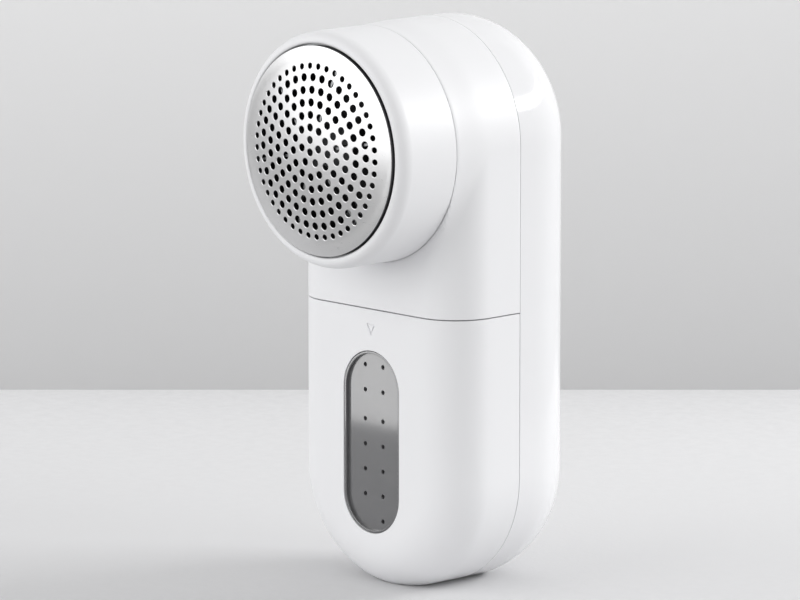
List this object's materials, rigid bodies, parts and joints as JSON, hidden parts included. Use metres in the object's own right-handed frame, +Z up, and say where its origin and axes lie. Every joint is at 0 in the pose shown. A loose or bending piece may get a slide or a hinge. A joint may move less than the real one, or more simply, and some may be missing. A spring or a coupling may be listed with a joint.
{
  "type": "fabric shaver",
  "caption": "Rechargeable handheld fabric shaver: pill-shaped white body, round perforated steel foil head under a twist-off collar, slide-out lint bin with a smoke-grey window.",
  "frame": {"origin": "on the flat underside, on the body's centre plane and below the middle of the body's depth", "axes": "+Z up along the body, the foil faces -Y, +X to the right of somebody facing the foil"},
  "size_m": [0.06, 0.0695, 0.1425],
  "materials": {
    "body_white": "smooth semi-gloss moulded ABS, pure white",
    "smoke_window": "smoke-grey translucent polycarbonate",
    "foil_steel": "satin stainless steel, perforated",
    "zinc_steel": "zinc-plated steel",
    "bright_steel": "bright rolled steel",
    "nickel": "nickel-plated",
    "inner_white": "fine-textured white moulded plastic",
    "dark_plastic": "fine-textured dark grey plastic",
    "black_plastic": "matt black plastic",
    "clear_plastic": "clear plastic",
    "seal_rubber": "matt dark rubber",
    "cell_wrap": "shrink-wrapped cell in blue film",
    "board_green": "solder mask over glass-fibre board",
    "wire_red": "PVC insulation",
    "wire_black": "PVC insulation"
  },
  "bodies": {
    "main": {"rear_shell": "body_white", "front_shell": "body_white", "cutter_housing": "black_plastic", "lint_chute": "inner_white", "chassis": "dark_plastic", "capacitor": "dark_plastic", "motor_can": "bright_steel", "interlock_spring": "bright_steel", "motor_end_cap": "black_plastic", "interlock_switch": "black_plastic", "battery_holder": "black_plastic", "switch_body": "black_plastic", "charge_chip": "black_plastic", "motor_terminal_1": "nickel", "motor_terminal_2": "nickel", "battery_contact_minus": "nickel", "battery_contact_plus": "nickel", "usb_socket": "nickel", "battery_cell": "cell_wrap", "main_board": "board_green", "status_led": "clear_plastic", "led_light_pipe": "clear_plastic", "wire_motor_red": "wire_red", "wire_battery_red": "wire_red", "wire_motor_black": "wire_black", "wire_battery_black": "wire_black", "motor_screw_1": "zinc_steel", "board_screw_1": "zinc_steel", "front_shell_screw_1": "zinc_steel", "motor_screw_2": "zinc_steel", "board_screw_2": "zinc_steel", "front_shell_screw_2": "zinc_steel", "housing_screw_1": "zinc_steel", "housing_screw_2": "zinc_steel", "housing_screw_3": "zinc_steel", "rear_shell_screw_1": "zinc_steel", "rear_shell_screw_2": "zinc_steel", "rear_shell_screw_3": "zinc_steel", "rear_shell_screw_4": "zinc_steel"},
    "bin": {"lint_bin": "body_white", "bin_window": "smoke_window"},
    "foil_unit": {"foil": "foil_steel", "foil_frame": "zinc_steel", "foil_seal": "seal_rubber"},
    "collar_ring": {"collar": "body_white"},
    "drive": {"motor_rotor": "nickel", "motor_shaft": "bright_steel", "drive_coupler": "inner_white", "float_spring": "bright_steel"},
    "cutter": {"blade_hub": "dark_plastic", "blade_1": "bright_steel", "blade_2": "bright_steel", "blade_3": "bright_steel", "blade_4": "bright_steel", "blade_5": "bright_steel", "blade_6": "bright_steel"},
    "slider": {"power_slider": "dark_plastic", "switch_actuator": "dark_plastic"},
    "plunger": {"interlock_plunger": "inner_white"}
  },
  "joints": [
    {"name": "bin_slide", "type": "slide", "parent": "main", "child": "bin", "axis": [0, 0, -1], "range_m": [0, 0.075]},
    {"name": "head_lift", "type": "slide", "parent": "main", "child": "foil_unit", "axis": [0, -1, 0], "range_m": [0, 0.02]},
    {"name": "collar_twist", "type": "hinge", "parent": "foil_unit", "child": "collar_ring", "pos_m": [0, -0.032, 0.1125], "axis": [0, -1, 0], "range_deg": [0, 25]},
    {"name": "cutter_spin", "type": "hinge", "parent": "main", "child": "drive", "pos_m": [0, -0.03, 0.1125], "axis": [0, -1, 0], "continuous": true},
    {"name": "cutter_float", "type": "slide", "parent": "drive", "child": "cutter", "axis": [0, 1, 0], "range_m": [0, 0.0008], "stiffness_N_per_m": 300, "springref_m": -0.001, "deforming": ["float_spring"]},
    {"name": "power_slide", "type": "slide", "parent": "main", "child": "slider", "axis": [0, 0, 1], "range_m": [0, 0.004]},
    {"name": "interlock_press", "type": "slide", "parent": "main", "child": "plunger", "axis": [0, 1, 0], "range_m": [0, 0.001], "stiffness_N_per_m": 200, "springref_m": -0.001, "deforming": ["interlock_spring"]}
  ]
}
